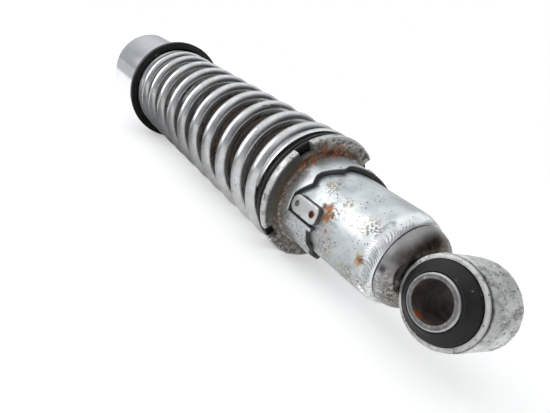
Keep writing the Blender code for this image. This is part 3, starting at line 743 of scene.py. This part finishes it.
def cam_edge(angle):
    """The collar's stepped edge at an angle in degrees past a lug; it repeats each half turn."""
    past = (angle - VALLEY_START) % 180.0 + VALLEY_START
    valley = 68.6
    tab = 52.7
    if past > TAB_START:
        return tab * MM
    if past < VALLEY_END:
        return valley * MM
    stops = [
        VALLEY_END, 27.5, 37.0, 43.5, 65.0, 74.0, 81.0, 102.0, 108.0, 111.0, 137.0, 143.0, TAB_START,
    ]
    drop = CAM_STEP / MM + 0.25
    heights = [valley, 63.6]
    for i in range(3):
        heights += [65.4 - drop * i, 65.2 - drop * i, 60.4 - drop * i]
    heights += [55.1, 55.1]
    return float(np.interp(past, stops, heights)) * MM


def notched(angle):
    """The flange's rim, cut back in four notches 15 degrees wide."""
    off = (angle - 45.0) % 90.0
    return NOTCH_RADIUS if min(off, 90.0 - off) < NOTCH_HALF else FLANGE_RADIUS


def collar():
    """The stepped preload collar: a skirt ending in the cam, and a notched flange."""
    turns = set(np.round(np.arange(0.0, 360.0, 0.9), 3))
    sharp = [half + wall for half in (0.0, 180.0) for wall in (VALLEY_START, TAB_START)]
    sharp += [45.0 + 90.0 * i + side for i in range(4) for side in (-NOTCH_HALF, NOTCH_HALF)]
    for step in sharp:
        step %= 360.0
        turns = {t for t in turns if abs((t - step + 180.0) % 360.0 - 180.0) > 0.35}
    for step in sharp:
        for offset in (-0.3, -0.02, 0.02, 0.3):
            turns.add(round((step + offset) % 360.0, 3))
    turns = sorted(turns)
    inner, outer = SKIRT_BORE, SKIRT_RADIUS
    low, high = FLANGE_START, FLANGE_END
    rows = []
    for angle in turns:
        edge = cam_edge(angle)
        rim = notched(angle)
        corners = [
            (edge, inner, 0.35 * MM), (edge, outer, 0.45 * MM), (low, outer, 0.7 * MM),
            (low, rim - 0.1 * MM, 0.5 * MM), (low + 0.6 * MM, rim, 0.4 * MM),
            (high, rim, 0.5 * MM), (high, inner, 0.3 * MM),
        ]
        rows.append(even_section(corners))
    section = np.array(rows)
    radians = np.radians(np.array(turns))
    up, radius = section[:, :, 0], section[:, :, 1]
    points = on_damper(up, radius, radians[:, None]).transpose(1, 0, 2)
    outward = on_damper(up, radius + MM, radians[:, None]).transpose(1, 0, 2) - points
    dents = rough_field(points, 0.006, 12.0, 2) * 0.05 * MM
    points = points + outward / MM * dents[..., None]
    faces = grid_faces(points.shape[0], points.shape[1], True)
    ring = add_mesh("collar_and_cam", points, faces, "collar", 38.0)
    dress(ring, collar_finish(), "preload_collar")


def even_section(corners):
    """A rounded section with the same number of points whatever its lengths.

    pieces is how many steps each side is cut into.
    """
    pieces = [3, 26, 8, 3, 3, 12, 26]
    arcs = []
    count = len(corners)
    for i, (along, radius, size) in enumerate(corners):
        point = np.array((along, radius))
        back = np.array(corners[i - 1][:2]) - point
        ahead = np.array(corners[(i + 1) % count][:2]) - point
        reach = min(size, ROOM * np.linalg.norm(back), ROOM * np.linalg.norm(ahead))
        back = back / np.linalg.norm(back) * reach
        ahead = ahead / np.linalg.norm(ahead) * reach
        arc = []
        for t in np.linspace(0.0, 1.0, 5):
            arc.append((point + back * (1.0 - t)) * (1.0 - t) + (point + ahead * t) * t)
        arcs.append(arc)
    line = []
    for i in range(count):
        line.extend(arcs[i])
        start = arcs[i][-1]
        end = arcs[(i + 1) % count][0]
        for j in range(1, pieces[i]):
            line.append(start + (end - start) * j / pieces[i])
    return line


def collar_finish():
    """Silver paint on the skirt, a dark worn flange, orange rust where the two meet."""
    s = Surface("collar_silver_paint")
    cloud = s.noise(0.010)
    skirt = s.mix(s.span(cloud, 0.35, 0.7), (0.46, 0.49, 0.50), (0.62, 0.65, 0.66))
    low = s.fade(s.z, -0.014, 0.002)
    fine = s.span(s.noise(0.0014, 5.0, 0.75, shift=24.0), 0.48, 0.60)
    skirt = s.mix(s.times(low, fine, 0.85), skirt, (0.14, 0.12, 0.09))
    radius = s.radius()
    up = s.up()
    face = s.span(radius, 0.0220, 0.0230)
    mottle = s.span(s.noise(0.0017, 6.0, 0.78, shift=2.0), 0.44, 0.56)
    flange = s.mix(mottle, (0.34, 0.34, 0.33), (0.095, 0.09, 0.082))
    rubbed = s.spot(spot_at(75.0, 188.0, 0.0253), 0.013, 0.021, 0.006, 3.0)
    flange = s.mix(s.times(rubbed, 0.85), flange, (0.085, 0.085, 0.078))
    pale = s.spot(spot_at(75.0, 262.0, 0.0263), 0.005, 0.017, 0.008, 5.0)
    flange = s.mix(s.times(pale, 0.6, s.span(mottle, 0.0, 1.0, 1.0, 0.3)), flange, (0.44, 0.43, 0.41))
    s.tone = s.mix(face, skirt, flange)
    # Painted highlight: a light band along the flange's rounded rim.
    rim_radius = s.span(radius, 0.0281, 0.0287)
    rim = s.times(rim_radius, s.span(s.noise(0.003, shift=27.0), 0.34, 0.5))
    s.coat(s.times(rim, 0.9), (0.56, 0.56, 0.55))
    # Near-black on the cam's cut edge and the skirt's bore: partly bare cut steel, partly painted shade.
    cut = s.fade(radius, 0.0208, 0.0214)
    behind = s.fade(up, 0.0735, 0.0742)
    wall = s.times(cut, behind)
    s.coat(s.times(wall, 0.92), (0.038, 0.034, 0.030))
    across = s.minus(radius, 0.0216)
    along = s.minus(up, 0.0740)
    gap = s.math("SQRT", s.plus(s.math("POWER", across, 2.0), s.math("POWER", along, 2.0)))
    near = s.stirred(gap, s.noise(0.005, 5.0, 0.7, shift=8.0), 0.010)
    grain = s.span(s.noise(0.0009, 5.0, 0.78, shift=9.0), 0.44, 0.54)
    patchy = s.span(s.noise(0.009, 3.0, shift=14.0), 0.36, 0.52)
    broken = s.span(s.noise(0.0015, 5.0, 0.75, shift=18.0), 0.42, 0.56)
    brown = s.times(s.fade(near, 0.0015, 0.0062), broken)
    s.coat(s.times(brown, 0.8), (0.15, 0.095, 0.045))
    corner = s.times(s.fade(near, 0.0004, 0.0030), patchy)
    under = s.span(s.z, -0.016, -0.004)
    rust = s.times(corner, s.blend(s.times(corner, corner, 0.5), grain, 1.0), under)
    patches = [(74.5, 262.0, 0.0040), (74.5, 288.0, 0.0032), (74.0, 244.0, 0.0052)]
    for i, (height, turn, size) in enumerate(patches):
        patch = s.spot(spot_at(height, turn, 0.0235), 0.0006, size, size, 60.0 + i)
        rust = s.most(rust, s.times(patch, grain))
    hue = s.noise(0.0030, shift=29.0)
    vivid = s.spot(spot_at(74.0, 238.0, 0.0225), 0.008, 0.019, 0.008, 12.0)
    fresh = s.mix(vivid, (0.16, 0.085, 0.035), (0.48, 0.12, 0.012))
    rusty = s.mix(s.span(hue, 0.40, 0.52), (0.085, 0.035, 0.014), fresh)
    rusty = s.mix(s.span(hue, 0.55, 0.64), rusty, (0.50, 0.28, 0.04))
    s.coat(rust, rusty)
    pins = s.most(s.specks(0.0017, 0.17, 0.5, 1.0), s.specks(0.0040, 0.12, 0.45, 6.0))
    s.coat(pins, (0.035, 0.02, 0.012))
    covered = s.most(rust, s.times(face, mottle, 0.7), s.times(brown, 0.7), wall)
    rough = s.blend(covered, s.blend(s.noise(0.004, 4.0, 0.55, shift=21.0), 0.26, 0.42), 0.75)
    metal = s.blend(covered, 0.85, 0.15)
    height = s.plus(s.times(s.noise(0.0012, shift=17.0), 0.5), s.times(rust, 0.9))
    height = s.minus(height, s.plus(s.times(face, mottle, 0.4), pins))
    return s.finish(rough, metal, height, 0.5, 0.0002)


def lug(name, side):
    """A welded lug: a rounded bar standing off the tube with two punched dimples."""
    count = 96
    half = 3.8
    start, end = 51.6, 67.7
    top = LUG_RADIUS / MM
    outline = []
    middle = []
    for i in range(count):
        across = math.cos(i / count * TURN)
        lift = math.sin(i / count * TURN)
        power = 1.0 if lift > 0.0 else 0.55
        centre = end - half if lift > 0.0 else start + half
        x = half * math.copysign(abs(across) ** power, across)
        y = half * math.copysign(abs(lift) ** power, lift)
        outline.append((centre + y, x))
        middle.append((centre, 0.0))
    outline = np.array(outline)
    middle = np.array(middle)
    rows = []
    rounding = [(1.2, 0.0), (0.45, 0.0), (0.2, 0.07), (0.05, 0.22), (0.0, 0.45)]
    levels = [(17.9, 0.0)] + [(top - below, inset) for below, inset in rounding]
    for radius, inset in levels:
        ring = middle + (outline - middle) * (1.0 - inset / half)
        height = np.full(count, side * radius * MM)
        rows.append(np.stack([LOWER_X - ring[:, 0] * MM, height, side * ring[:, 1] * MM], -1))
    points = np.array(rows)
    faces = grid_faces(len(rows), count, False)
    faces.append(tuple(range(count)))
    faces.append(tuple(reversed(range((len(rows) - 1) * count, len(rows) * count))))
    piece = add_mesh(name, points, faces, "damper_body", 40.0)
    rusted = (LOWER_X - RUSTY_DIMPLE, side * LUG_RADIUS, 0.0)
    clean = (LOWER_X - CLEAN_DIMPLE, side * LUG_RADIUS, 0.0)
    carve(piece, 1.4 * MM, clean, 1.1 * MM)
    carve(piece, 1.35 * MM, rusted, 2.2 * MM)
    node = "cam_lug_front" if side < 0.0 else "cam_lug_rear"
    dress(piece, lug_finish(name + "_silver_paint", rusted, clean), node)


def lug_finish(name, rusted, clean):
    """Silver paint with its sides darkened as painted shade, rust round one dimple with its hole darkened,
    partly dark rust and partly painted shade, and grey in the other.
    """
    s = Surface(name)
    s.clouded(0.006, (0.52, 0.53, 0.53), (0.66, 0.67, 0.67))
    pins = s.specks(0.0016, 0.16, 0.5, 3.0)
    s.coat(pins, DEEP_RUST)
    # Painted shade: the lug's sides, below its top, are darkened.
    edge = s.fade(s.radius(), 0.0209, 0.0216)
    s.coat(s.times(edge, 0.9), (0.055, 0.045, 0.038))
    rusty = s.spot(rusted, 0.0010, 0.0024, 0.0016, 1.0)
    speck = s.span(s.noise(0.0009, 4.0, 0.7, shift=4.0), 0.42, 0.56)
    s.coat(s.times(rusty, s.blend(rusty, speck, 1.0)), (0.24, 0.075, 0.02))
    # The rusted dimple's hole is near-black: partly dark rust, partly painted shade.
    s.coat(s.spot(rusted, 0.0011, 0.0015), (0.035, 0.016, 0.009))
    s.coat(s.times(s.spot(clean, 0.0010, 0.0014), 0.8), (0.12, 0.125, 0.12))
    rough = s.blend(s.most(rusty, edge), 0.34, 0.7)
    metal = s.blend(s.most(rusty, edge), 0.8, 0.2)
    return s.finish(rough, metal, s.noise(0.0011, shift=6.0), 0.4, 0.00015)


def seats():
    """The two black seats the spring stands on."""
    lower = [
        (77.6, 19.25, 0.2), (77.6, 27.9, 0.3), (78.0, 28.2, 0.2), (79.1, 28.2, 0.1), (79.2, 27.8, 0.1),
        (79.7, 27.8, 0.1), (79.8, 28.3, 0.1), (80.7, 28.3, 0.1), (80.8, 27.9, 0.1), (81.1, 27.9, 0.1),
        (81.2, 28.2, 0.1), (82.0, 28.1, 0.3), (82.0, 21.1, 0.3), (84.6, 20.6, 0.3), (84.6, 19.25, 0.3),
    ]
    ring = turned("spring_seat_lower", lower, 0.2, 0.6, on_damper, 220, "seat_slide")
    dress(ring, black_paint("lower_seat_black_paint", 0.35), "lower_spring_seat")
    upper = [
        (244.6, 29.6, 0.3), (244.6, 33.1, 0.6), (245.2, 33.6, 0.4), (248.0, 33.6, 0.5), (250.9, 31.4, 0.5),
        (250.9, 19.0, 0.3), (248.6, 19.0, 0.3), (248.6, 29.6, 0.5),
    ]
    ring = turned("spring_seat_upper", upper, 0.3, 0.8, on_damper, 240, "upper_unit")
    dress(ring, black_paint("upper_seat_black_paint", 0.15), "upper_spring_seat")


def cover():
    """The mirror-chromed bell over the upper end."""
    corners = [
        (251.2, 27.0, 0.3), (251.2, 28.6, 0.3), (305.4, 28.6, 3.6), (305.4, 10.4, 0.4),
        (302.2, 10.4, 0.3), (302.2, 27.0, 2.0),
    ]
    bell = turned("chrome_cover", corners, 0.3, 1.2, on_damper, 240, "upper_unit")
    dress(bell, bright_chrome(), "top_cover")


def wire_pitch(turn):
    """The rise a turn: closed at both ends, even in the middle, tighter towards the upper end."""
    turns = (0.7, 1.6, 8.7, 10.2, 10.6)
    pitches = (7.42, 16.84, 16.84, 10.74, 7.75)
    return float(np.interp(turn, turns, pitches)) * MM


def spring():
    """The right-handed spring, ground flat at both ends, in two lengths that meet at one plane."""
    per_turn = 72
    around = 36
    lag = 0.067
    count = int(SPRING_TURNS * per_turn) + 1
    centres = []
    rise = SPRING_START
    for i in range(count):
        turn = i / per_turn
        centres.append(on_damper(rise, COIL, math.radians(SPRING_TIP + 360.0 * turn)))
        rise += wire_pitch(turn + 0.5 / per_turn - lag) / per_turn
    centres = np.array(centres)
    ahead = np.gradient(centres, axis=0)
    ahead /= np.linalg.norm(ahead, axis=1, keepdims=True)
    out = centres * np.array((0.0, 1.0, 1.0))
    out /= np.linalg.norm(out, axis=1, keepdims=True)
    side = np.cross(ahead, out)
    side /= np.linalg.norm(side, axis=1, keepdims=True)
    out = np.cross(side, ahead)
    turn = np.arange(around) * TURN / around
    ring = out[:, None] * np.cos(turn)[None, :, None] + side[:, None] * np.sin(turn)[None, :, None]
    uneven = 1.0 + 0.012 * rough_field(centres[:, None] + ring * WIRE, 0.012, 3.0, 2)
    points = centres[:, None] + ring * WIRE * uneven[..., None]
    faces = grid_faces(count, around, False)
    faces.append(tuple(range(around)))
    faces.append(tuple(range((count - 1) * around, count * around)))
    look = worn_chrome("spring_worn_chrome")
    for name, low, high, body, joint, travel in (
        ("spring_lower_coils", SPRING_START, SPRING_JOIN, "damper_body", "preload_lift", LIFT),
        ("spring_upper_coils", SPRING_JOIN, SPRING_END, "upper_unit", "damper_stroke", STROKE),
    ):
        piece = add_mesh(name, points, faces, body, 45.0)
        shape = bmesh.new()
        shape.from_mesh(piece.data)
        for up, way in ((low, -1.0), (high, 1.0)):
            everything = shape.verts[:] + shape.edges[:] + shape.faces[:]
            cut = bmesh.ops.bisect_plane(
                shape, geom=everything, plane_co=(LOWER_X - up, 0.0, 0.0), plane_no=(-way, 0.0, 0.0),
                clear_outer=True,
            )
            edges = [e for e in cut["geom_cut"] if isinstance(e, bmesh.types.BMEdge)]
            bmesh.ops.holes_fill(shape, edges=edges)
        bmesh.ops.triangulate(shape, faces=[f for f in shape.faces if len(f.verts) > 4])
        bmesh.ops.recalc_face_normals(shape, faces=shape.faces)
        shape.to_mesh(piece.data)
        shape.free()
        smooth(piece.data, 45.0)
        dress(piece, look, "coil_spring")
        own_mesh(piece)


def upper_neck():
    """The neck between the upper eye and the cover."""
    corners = [
        (300.2, 6.3), (300.2, 10.0, 0.4), (305.0, 10.0, 1.0), (308.0, 12.5, 2.0), (312.0, 12.8, 1.0),
        (312.0, 6.3),
    ]
    dents = lumps(0.08 * MM, 0.003, 15.0)
    neck = turned("upper_eye_neck", corners, 0.5, 0.6, on_damper, 140, "upper_unit", dents)
    carve(neck, EYE_RADIUS - 0.5 * MM, (UPPER_X, 0.0, 0.0))
    dress(neck, cast_paint("neck_worn_paint"), "upper_eye")


def bump_stop():
    corners = [(227.0, 6.3), (227.0, 10.3, 1.0)]
    for i in range(4):
        start = 230.0 + 15.0 * i
        corners += [(start, 13.0, 2.0), (start + 8.0, 14.5, 2.0)]
        if i < 3:
            corners.append((start + 12.0, 11.5, 2.0))
    corners += [(290.0, 14.0, 0.6), (290.0, 6.3)]
    stop = turned("bump_stop_foam", corners, 0.5, 1.2, on_damper, 120, "upper_unit")
    dress(stop, foam("bump_stop_closed_cells"), "bump_stop")


def carried_over():
    """The CAD parts that stay as they are, each with its own finish."""
    steel = ((0.30, 0.30, 0.30), (0.55, 0.55, 0.55))
    iron = ((0.16, 0.16, 0.16), (0.32, 0.31, 0.30))
    finishes = {
        "piston_rod": plain_metal("rod_hard_chrome", (0.55, 0.55, 0.56), (0.72, 0.72, 0.73), 0.16),
        "rod_lock_nut": plain_metal("nut_zinc", (0.42, 0.39, 0.30), (0.62, 0.58, 0.46), 0.38),
        "bump_stop_washer": plain_metal("washer_zinc", (0.42, 0.41, 0.38), (0.6, 0.59, 0.55), 0.4),
        "piston": plain_metal("piston_sintered", *iron, 0.5),
        "piston_nut": plain_metal("piston_nut_steel", *steel, 0.4),
        "valve_shims": plain_metal("shim_spring_steel", *steel, 0.3),
        "pressure_tube": plain_metal("pressure_tube_steel", *steel, 0.3),
        "foot_valve": plain_metal("foot_valve_sintered", *iron, 0.5),
        "foot_valve_plate": plain_metal("foot_plate_steel", *steel, 0.35),
        "rod_guide": plain_metal("guide_sintered", *iron, 0.45),
        "guide_bush": plain_metal("bush_bronze", (0.32, 0.20, 0.09), (0.52, 0.34, 0.16), 0.35),
        "gland_nut": black_paint("gland_black_paint", 0.5),
        "oil_seal": rubber("oil_seal_rubber"),
        "seal_o_ring": rubber("o_ring_rubber"),
        "dust_wiper": rubber("wiper_rubber"),
        "piston_ring": rubber("ring_plastic"),
        "rebound_stop": plain_metal("stop_nylon", (0.45, 0.43, 0.36), (0.6, 0.58, 0.5), 0.5, 0.0),
    }
    for node, look in finishes.items():
        coated(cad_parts[node], look)


# ---------- stage ----------

def floor():
    """A pale floor along the collar's flange and the upper seat's rim, dimmed in some reflections."""
    mesh = bpy.data.meshes.new("floor")
    shape = bmesh.new()
    bmesh.ops.create_grid(shape, x_segments=24, y_segments=24, size=3.0)
    shape.to_mesh(mesh)
    shape.free()
    plane = place("floor", mesh)
    near = Vector((LOWER_X - 0.0768, 0.0, -0.0290))
    far = Vector((LOWER_X - 0.2465, 0.0, -0.0337))
    slope = math.atan2(near.z - far.z, near.x - far.x)
    plane.rotation_euler = (0.0, -slope, 0.0)
    plane.location = far
    s = Surface("pale_floor")
    cloud = s.noise(0.2, 2.0, 0.5)
    s.tone = s.mix(cloud, (0.80, 0.80, 0.80), (0.84, 0.84, 0.84))
    glossy = s.new("LightPath", {}).outputs["Is Glossy Ray"]
    front = s.fade(s.y, 0.02, 0.20)
    beside_coils = s.times(s.fade(s.x, 0.03, 0.18), s.span(s.x, -0.035, -0.010), front)
    beyond_cover = s.times(s.fade(s.x, -0.10, -0.02), s.fade(s.y, -0.078, -0.056), 0.64)
    dimmed = s.times(glossy, s.most(beside_coils, beyond_cover))
    s.coat(s.times(dimmed, 0.72), (0.12, 0.12, 0.125))
    mesh.materials.append(s.finish(0.8, 0.0, specular=0.0))
    s.join((1.0, 1.0, 1.0), s.shader.inputs["Emission Color"])
    s.join(s.blend(dimmed, 0.42, 0.0), s.shader.inputs["Emission Strength"])


def surroundings():
    """A grey room with a bright ceiling, a dark side past the lower eye and a window past the upper one.

    Its lower half is pale, and the camera itself sees plain white. Each tone covers the directions
    near its aim: fully past the first cosine, and not at all short of the second.
    """
    world = bpy.data.worlds.new("studio")
    bpy.context.scene.world = world
    graph = Graph(world)
    direction = graph.new("TexCoord", {}).outputs["Generated"]
    colour = (0.42, 0.44, 0.465)
    for aim, inner, outer, tone in (
        ((-0.2, 0.1, 1.0), 0.95, 0.3, (1.30, 1.33, 1.34)),
        ((0.75, 0.5, 0.35), 0.95, 0.1, (0.05, 0.05, 0.055)),
        ((-0.62, -0.72, 0.30), 0.965, 0.85, (3.1, 3.1, 3.1)),
        ((0.0, 0.40, -0.914), 0.04, -0.04, (0.95, 0.95, 0.95)),
    ):
        cosine = graph.vector_math("DOT_PRODUCT", direction, Vector(aim).normalized())["Value"]
        colour = graph.mix(graph.span(cosine, outer, inner), colour, tone)
    seen = graph.new("LightPath", {}).outputs["Is Camera Ray"]
    colour = graph.mix(seen, colour, (1.0, 1.0, 1.0))
    graph.join(colour, graph.tree.nodes["Background"].inputs["Color"])


def camera():
    data = bpy.data.cameras.new("camera")
    thing = place("camera", data)
    right = Vector(CAMERA_RIGHT).normalized()
    top = Vector(CAMERA_UP).normalized()
    back = right.cross(top)
    axes = Matrix((right, top, back)).transposed().to_4x4()
    thing.matrix_world = Matrix.Translation(CAMERA_AT) @ axes
    data.lens = CAMERA_LENS
    data.sensor_width = 36.0
    data.shift_x = CAMERA_SHIFT
    data.clip_start = 0.005
    bpy.context.scene.camera = thing
    bpy.context.scene.view_settings.view_transform = "Standard"


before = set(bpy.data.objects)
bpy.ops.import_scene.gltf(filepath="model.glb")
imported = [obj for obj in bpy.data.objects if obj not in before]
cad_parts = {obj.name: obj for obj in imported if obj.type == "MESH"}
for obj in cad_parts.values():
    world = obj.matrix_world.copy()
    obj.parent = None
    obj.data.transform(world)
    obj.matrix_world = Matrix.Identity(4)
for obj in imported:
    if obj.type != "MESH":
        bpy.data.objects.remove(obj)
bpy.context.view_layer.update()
eye("lower", LOWER_X, "damper_body", "lower_sleeve")
eye("upper", UPPER_X, "upper_unit", "upper_sleeve")
end_cap()
weld()
tube()
collar()
lug("lug_front", -1.0)
lug("lug_rear", 1.0)
seats()
cover()
spring()
upper_neck()
bump_stop()
carried_over()
floor()
surroundings()
camera()
